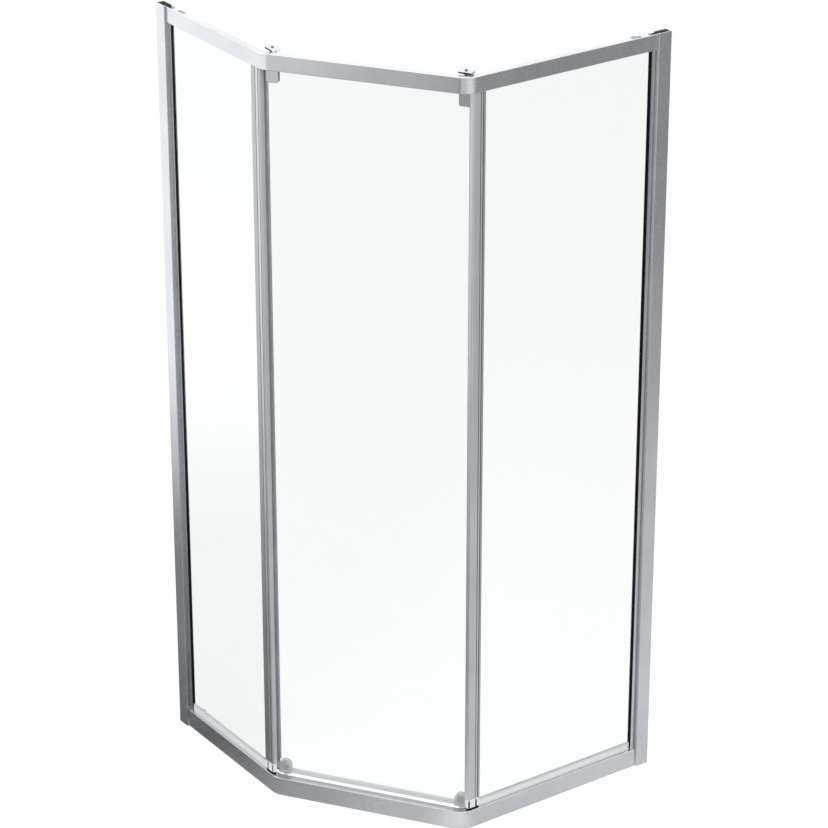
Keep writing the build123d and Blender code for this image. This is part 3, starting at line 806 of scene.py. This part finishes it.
def make_door():
    """Door pane, edge profile and seals."""
    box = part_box("door_glass")
    low, high = box[0][2], box[1][2]
    half = glass / 2
    start, end = axis_left - pane_before, axis_right + pane_after
    pane = rectangle(start, end, track_depth - half, track_depth + half, glass_edge, 3)
    shell = prism(pane, low, high, on_middle, glass_edge)
    piece("door_pane", [shell], "door", pane_glass, ["door_glass"])

    bottom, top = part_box("trailing_profile")[0][2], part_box("trailing_profile")[1][2]
    near, far = track_depth - edge_half, track_depth + edge_half
    lip_low = guide_centre + guide_half + play
    lip_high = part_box("clip_left")[0][2] - play
    short = axis_left - guide_half - play
    stretches = ((bottom, lip_low, short), (lip_low, lip_high, edge_back), (lip_high, top, short))
    shells = []
    for low_end, high_end, reach in stretches:
        outline = edge_outline(near, far, start, reach, half)
        shells.append(prism(outline, low_end, high_end, on_middle, 0.1 * mm))
    piece("door_edge_profile", shells, "door", profile_metal, ["trailing_profile"])

    bottom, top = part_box("leading_seal")[0][2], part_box("leading_seal")[1][2]
    near, far = track_depth - lead_half, track_depth + lead_half
    outline = rounded([
        (end - lead_grip, near), (end + lead_tip, near), (end + lead_tip, far), (end - lead_grip, far),
        (end - lead_grip, track_depth + half), (end, track_depth + half),
        (end, track_depth - half), (end - lead_grip, track_depth - half),
    ], [0.5 * mm, 1.8 * mm, 1.8 * mm, 0.5 * mm, 0.3 * mm, 0, 0, 0.3 * mm], 6)
    shell = prism(outline, bottom, top, on_middle, 0.2 * mm)
    piece("door_edge_seal", [shell], "door", edge_plastic, ["leading_seal"])

    low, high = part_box("drip_seal")[0][2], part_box("drip_seal")[1][2]
    front, back = track_depth - half, track_depth + half
    near, far = front - seal_wall, back + seal_wall
    section = u_section(near, far, front, back, low, high - seal_grip, high, 0.6 * mm)
    start, end = axis_left + guide_half + play, axis_right - guide_half - play
    shell = prism(section, start, end, on_middle, 0.3 * mm, sideways)
    piece("door_drip_seal", [shell], "door", seal_plastic, ["drip_seal"])


def edge_outline(near, far, pane_start, reach, half):
    """Section of the door's edge profile, slotted for the pane."""
    return rounded([
        (-edge_front, near), (reach, near), (reach, track_depth - half), (pane_start, track_depth - half),
        (pane_start, track_depth + half), (reach, track_depth + half), (reach, far), (-edge_front, far),
    ], [1.5 * mm, 0.5 * mm, 0.2 * mm, 0, 0, 0.2 * mm, 0.5 * mm, 1.5 * mm], 5)


def make_clips():
    """Outer jaws of the top clips, with rounded lower corners and soft edges."""
    low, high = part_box("clip_left")[0][2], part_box("clip_left")[1][2]
    corners = [(-clip_half, low), (clip_half, low), (clip_half, high), (-clip_half, high)]
    outline = rounded(corners, [clip_round, clip_round, 0.8 * mm, 0.8 * mm], 10)
    for side, (_, place, _, _) in SIDES.items():
        shell = prism(outline, -jaw_face, -pad_face, place, 0.8 * mm, facing)
        piece(f"clip_{side}_cast", [shell], "door", profile_metal, [f"clip_{side}"])


def tombstone(low, radius, steps=24):
    """Outline across and up: straight sides under a round top about the button's centre."""
    angle = np.linspace(0, math.pi, steps)
    top = np.stack([radius * np.cos(angle), guide_centre + radius * np.sin(angle)], -1)
    corners = [(-radius, guide_centre), (-radius, low), (radius, low), (radius, guide_centre)]
    foot = rounded(corners, [0, 2 * mm, 2 * mm, 0])
    order = foot[np.argsort(foot[:, 0], kind="stable")]
    return np.concatenate([top, order[1:-1]])


def make_guides():
    """Clear guide housings with their pins, the round release buttons and the rollers."""
    low = guide_low
    half = glass / 2
    for side, (_, place, _, _) in SIDES.items():
        outline = tombstone(low, guide_half)
        bridge = rectangle(-guide_half, guide_half, -half, half, 0.2 * mm)
        shells = [
            prism(outline, -guide_face, -guide_step, place, 0.8 * mm, facing),
            prism(outline, -guide_step, -half, place, 0.1 * mm, facing),
            prism(outline, half, guide_face, place, 0.8 * mm, facing),
            prism(bridge, low, guide_bridge, place, 0.2 * mm),
            turned(soft_profile(stub_radius, stub_low + 0.5 * mm, low, 0.3 * mm), place),
            turned(soft_profile(stub_radius + 1.5 * mm, stub_low, stub_low + 1.2 * mm, 0.3 * mm), place),
            turned(soft_profile(stub_radius + 2 * mm, roller_high + play, low, 0.5 * mm), place),
        ]
        piece(f"guide_{side}_moulded", shells, "door", guide_plastic,
              [f"guide_housing_{side}"])
        shell = turned(button_profile(), place, "inward", (0.0, 0.0, guide_centre))
        piece(f"button_{side}_moulded", [shell], f"button_{side}", grey_plastic,
              [f"release_button_{side}"])
        roller = turned(soft_profile(roller_radius, roller_low, roller_high, mm, roller_bore), place)
        piece(f"roller_{side}_turned", [roller], f"roller_{side}", white_plastic,
              [f"guide_roller_{side}"])


def button_profile():
    """Round button with a shallow dish in its face, from the back's middle to the face's middle."""
    radius = button_radius
    back, front = -button_back, -button_face
    turn = np.linspace(0, math.pi / 2, 7)
    rim = np.stack([radius - mm * (1 - np.cos(turn)), front + mm * (1 - np.sin(turn))], -1)
    dish = np.linspace(0.85, 0.01, 10)
    hollow = np.stack([radius * dish, front + 0.5 * mm * (1 - (dish / 0.85) ** 2)], -1)
    return np.concatenate([[(0.02 * mm, back), (radius, back)], rim, hollow])


# Carriages, stops and caps

def make_carriages():
    """Light plates over the carriages' dark bodies, the bolts and the wheels. The bodies' black also paints
    the shade under the plates.
    """
    for side, (_, on_door, place, _) in SIDES.items():
        body = f"carriage_{side}"
        top_body, top_place = (body, place) if side == "left" else ("door", on_door)
        low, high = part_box(f"carriage_cap_{side}")[0][2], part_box(f"carriage_cap_{side}")[1][2]
        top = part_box(f"carriage_block_{side}")[1][2]
        inner = cap_half - cap_leg
        plate = rectangle(-cap_half, cap_half, -cap_side, cap_side, 2.5 * mm, 8)
        leg = rounded([
            (inner, -cap_side), (cap_half, -cap_side), (cap_half, cap_side), (inner, cap_side),
        ], [0.3 * mm, 2.5 * mm, 2.5 * mm, 0.3 * mm], 8)
        shells = [
            prism(plate, top, high, top_place, 0.6 * mm),
            prism(leg, low, top + 0.8 * mm, top_place, 0.3 * mm),
        ]
        piece(f"cap_{side}_moulded", shells, top_body, profile_metal, [f"carriage_cap_{side}"])
        # The body under each plate is a real part; its black colour also paints the shade in the gap under
        # the plate.
        block = rectangle(mm - cap_half, inner, -cap_side + mm, cap_side - mm, 0.5 * mm, 4)
        shells = [
            prism(block, low, top, top_place, 0.2 * mm),
            turned(soft_profile(boss_radius, rail_top - 1.2 * mm, rail_top + 1.5 * mm, 0.3 * mm), top_place),
        ]
        piece(f"block_{side}_moulded", shells, top_body, black_plastic,
              [f"carriage_block_{side}"])
        head = soft_profile(head_radius, high, high + head_height, 0.8 * mm)
        shank = soft_profile(shank_radius, rail_top - shank_low, high + mm, 0.2 * mm)
        piece(f"bolt_{side}_turned", [turned(head, place), turned(shank, place)], body, dark_steel,
              [f"carriage_bolt_{side}"])
        height = (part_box(f"carriage_wheel_{side}")[0][2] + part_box(f"carriage_wheel_{side}")[1][2]) / 2
        wheel = turned(wheel_profile(), place, "inward", (0.0, 0.0, height))
        piece(f"wheel_{side}_turned", [wheel], f"wheel_{side}", white_plastic,
              [f"carriage_wheel_{side}"])


def wheel_profile():
    """Wheel section: bore, hub, dished side and rounded tread, closed."""
    half = wheel_half
    side = [
        (wheel_bore, half), (wheel_hub, half), (wheel_dish, half - mm),
        (wheel_rim, half - mm), (wheel_tread, half), (wheel_radius, half),
    ]
    radii = [0, 0.2 * mm, 0.3 * mm, 0.3 * mm, 0.2 * mm, 0.6 * mm]
    return rounded([(radius, -offset) for radius, offset in side] + side[::-1], radii + radii[::-1], 3)


def make_caps_and_stops():
    """Small caps on the top rail and the round buffers behind the bottom rail."""
    shells = []
    for place in (on_left, on_right):
        outline = rectangle(rail_cap_start, rail_cap_end, 6 * mm, 14 * mm, 1.5 * mm, 6)
        shells.append(prism(outline, rail_top, rail_top + rail_cap_height, place, 0.5 * mm))
    piece("rail_caps_moulded", shells, "frame", grey_plastic, ["rail_caps"])
    for side, (place, *_) in SIDES.items():
        low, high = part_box(f"guide_stop_{side}")[0][2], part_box(f"guide_stop_{side}")[1][2]
        profile = soft_profile(buffer_radius, low, high, 1.2 * mm)
        shell = turned(profile, place, "up", (buffer_reach, buffer_depth, 0.0))
        piece(f"buffer_{side}_turned", [shell], "frame", grey_plastic, [f"guide_stop_{side}"])


dark_steel = moulded("dark_steel", (0.10, 0.10, 0.105), (0.16, 0.16, 0.165), 0.3, 0.45, Metallic=0.9)

make_top_rail()
make_bottom_rail()
make_wall_profiles()
make_panes()
make_sill_seals()
make_posts()
make_door()
make_clips()
make_guides()
make_carriages()
make_caps_and_stops()

# Nodes that keep their CAD shape
KEPT = {
    "glass_profile": profile_metal,
    "wall_gasket": black_rubber,
    "profile_plug": black_plastic,
    "rail_connector": grey_plastic,
    "head_seal": seal_plastic,
    "post_foot": white_plastic,
    "foot_pad": black_rubber,
    "clip_pads": black_rubber,
    "hanger": fitting_steel,
    "carriage_fork": fitting_steel,
    "carriage_axle": fitting_steel,
    "profile_screws": fitting_steel,
    "clip_screws": fitting_steel,
    "track_stop": black_plastic,
    "corner_disc": white_plastic,
}
for node, material in KEPT.items():
    for name in (node, f"{node}_left", f"{node}_right"):
        if name in frame["nodes"]:
            mesh = frame["nodes"][name].data
            mesh.materials.clear()
            mesh.materials.append(material)


# Camera, floor and light

def make_camera():
    """Camera at the photograph's place and angle, fitted to the rails' corners."""
    azimuth, elevation = math.radians(54.96), math.radians(25.07)
    data = bpy.data.cameras.new("camera")
    data.sensor_width = 36
    data.lens = 145.93
    data.clip_end = 100
    camera = bpy.data.objects.new("camera", data)
    camera.location = (6.2786, -4.3933, 4.5379)
    camera.rotation_euler = (math.pi / 2 - elevation, 0, azimuth)
    bpy.context.scene.collection.objects.link(camera)
    bpy.context.scene.camera = camera


def seen(tree, plain, white, share, reflected):
    """Plain shader, mixed with white for the camera and the panes, and swapped where it is reflected."""
    path = tree.nodes.new("ShaderNodeLightPath")
    direct = tree.nodes.new("ShaderNodeMath")
    direct.operation = "MAXIMUM"
    scale = tree.nodes.new("ShaderNodeMath")
    scale.operation = "MULTIPLY"
    scale.inputs[1].default_value = share
    whiten = tree.nodes.new("ShaderNodeMixShader")
    bounced = tree.nodes.new("ShaderNodeMath")
    bounced.operation = "SUBTRACT"
    bounced.use_clamp = True
    mirror = tree.nodes.new("ShaderNodeMixShader")
    tree.links.new(path.outputs["Is Camera Ray"], direct.inputs[0])
    tree.links.new(path.outputs["Is Transmission Ray"], direct.inputs[1])
    tree.links.new(direct.outputs["Value"], scale.inputs[0])
    tree.links.new(scale.outputs["Value"], whiten.inputs["Fac"])
    tree.links.new(plain, whiten.inputs[1])
    tree.links.new(white, whiten.inputs[2])
    tree.links.new(path.outputs["Is Glossy Ray"], bounced.inputs[0])
    tree.links.new(path.outputs["Is Transmission Ray"], bounced.inputs[1])
    tree.links.new(bounced.outputs["Value"], mirror.inputs["Fac"])
    tree.links.new(whiten.outputs["Shader"], mirror.inputs[1])
    tree.links.new(reflected, mirror.inputs[2])
    return mirror.outputs["Shader"]


def floor_reflection(tree):
    """Glow of the floor in reflections, from the far left (0) to the far right (1) of the room.

    The share runs with x * cos 35 + y * sin 35, from -5 m to 5 m. Two round patches, far out and
    close by, light the right bend of the top rail and of the bottom rail.
    """
    where = tree.nodes.new("ShaderNodeNewGeometry")
    line = tree.nodes.new("ShaderNodeVectorMath")
    line.operation = "DOT_PRODUCT"
    line.inputs[1].default_value = (math.cos(math.radians(35)), math.sin(math.radians(35)), 0)
    share = tree.nodes.new("ShaderNodeMapRange")
    share.inputs["From Min"].default_value = -5
    share.inputs["From Max"].default_value = 5
    ramp = tree.nodes.new("ShaderNodeValToRGB")
    stops = (
        (0.05, 0.93), (0.21, 0.94), (0.33, 0.12), (0.38, 0.13), (0.45, 0.05),
        (0.50, 0.42), (0.55, 0.58), (0.60, 0.58), (0.76, 0.42), (0.95, 0.16),
    )
    elements = ramp.color_ramp.elements
    while len(elements) < len(stops):
        elements.new(0.5)
    for element, (position, level) in zip(elements, stops):
        element.position = position
        element.color = (level, level, level, 1.0)
    glow = tree.nodes.new("ShaderNodeEmission")
    glow.inputs["Strength"].default_value = 1.6
    tree.links.new(where.outputs["Position"], line.inputs[0])
    tree.links.new(line.outputs["Value"], share.inputs["Value"])
    tree.links.new(share.outputs["Result"], ramp.inputs["Fac"])
    tree.links.new(ramp.outputs["Color"], glow.inputs["Color"])
    total = glow.outputs["Emission"]
    patches = (
        ((5.9, -0.7, 0), 1.0, 3.2, 1.1),
        ((0.47, -0.20, 0), 0.02, 0.13, 0.45),
    )
    for patch in patches:
        add = tree.nodes.new("ShaderNodeAddShader")
        tree.links.new(total, add.inputs[0])
        tree.links.new(bright_patch(tree, where.outputs["Position"], *patch), add.inputs[1])
        total = add.outputs["Shader"]
    return total


def bright_patch(tree, position, centre, near, far, strength):
    """Round glow that is full up to the near distance from its centre and gone at the far one."""
    away = tree.nodes.new("ShaderNodeVectorMath")
    away.operation = "DISTANCE"
    away.inputs[1].default_value = centre
    fade = tree.nodes.new("ShaderNodeMapRange")
    fade.interpolation_type = "SMOOTHSTEP"
    fade.inputs["From Min"].default_value = near
    fade.inputs["From Max"].default_value = far
    fade.inputs["To Min"].default_value = strength
    fade.inputs["To Max"].default_value = 0
    patch = tree.nodes.new("ShaderNodeEmission")
    tree.links.new(position, away.inputs[0])
    tree.links.new(away.outputs["Value"], fade.inputs["Value"])
    tree.links.new(fade.outputs["Result"], patch.inputs["Strength"])
    return patch.outputs["Emission"]


def make_floor():
    """Pale floor that reads white and keeps the object's shadow."""
    mesh = bpy.data.meshes.new("floor")
    half = 30.0
    corners = [(-half, -half, 0), (half, -half, 0), (half, half, 0), (-half, half, 0)]
    mesh.from_pydata(corners, [], [(0, 1, 2, 3)])
    floor = bpy.data.objects.new("floor", mesh)
    bpy.context.scene.collection.objects.link(floor)
    material = shader("floor_white", (0.9, 0.9, 0.9), 0.9)
    tree = material.node_tree
    glow = tree.nodes.new("ShaderNodeEmission")
    glow.inputs["Strength"].default_value = 1.07
    plain = tree.nodes["Principled BSDF"].outputs["BSDF"]
    out = seen(tree, plain, glow.outputs["Emission"], 0.88, floor_reflection(tree))
    tree.links.new(out, tree.nodes["Material Output"].inputs["Surface"])
    mesh.materials.append(material)


def background(tree, colour, strength):
    """Plain background of one colour."""
    node = tree.nodes.new("ShaderNodeBackground")
    node.inputs["Color"].default_value = (*colour, 1.0)
    node.inputs["Strength"].default_value = strength
    return node.outputs["Background"]


def make_world():
    """Soft grey surroundings that read white where they are seen."""
    world = bpy.data.worlds.new("studio")
    bpy.context.scene.world = world
    world.use_nodes = True
    tree = world.node_tree
    plain = background(tree, (0.95, 0.97, 1.0), 0.5)
    white = background(tree, (1, 1, 1), 1.0)
    out = seen(tree, plain, white, 1.0, background(tree, (1, 1, 1), 1.5))
    tree.links.new(out, tree.nodes["World Output"].inputs["Surface"])


def make_lamp(name, place, target, size, power):
    """Square soft lamp aimed at a point."""
    data = bpy.data.lights.new(name, "AREA")
    data.shape = "SQUARE"
    data.size = size
    data.energy = power
    lamp = bpy.data.objects.new(name, data)
    lamp.location = place
    away = np.array(place) - np.array(target)
    tilt = math.acos(away[2] / np.linalg.norm(away))
    lamp.rotation_euler = (tilt, 0, math.atan2(away[1], away[0]) + math.pi / 2)
    bpy.context.scene.collection.objects.link(lamp)


make_camera()
make_floor()
make_world()
make_lamp("lamp_left", (-2.4, -3.2, 3.8), (-0.3, -0.3, 1.5), 1.8, 90)
make_lamp("lamp_right", (3.4, 1.0, 3.6), (0.4, 0.1, 0.8), 1.8, 50)
make_lamp("lamp_top", (1.5, -1.5, 5.0), (0, 0, 1), 3.0, 70)

bpy.context.scene.view_settings.view_transform = "Standard"
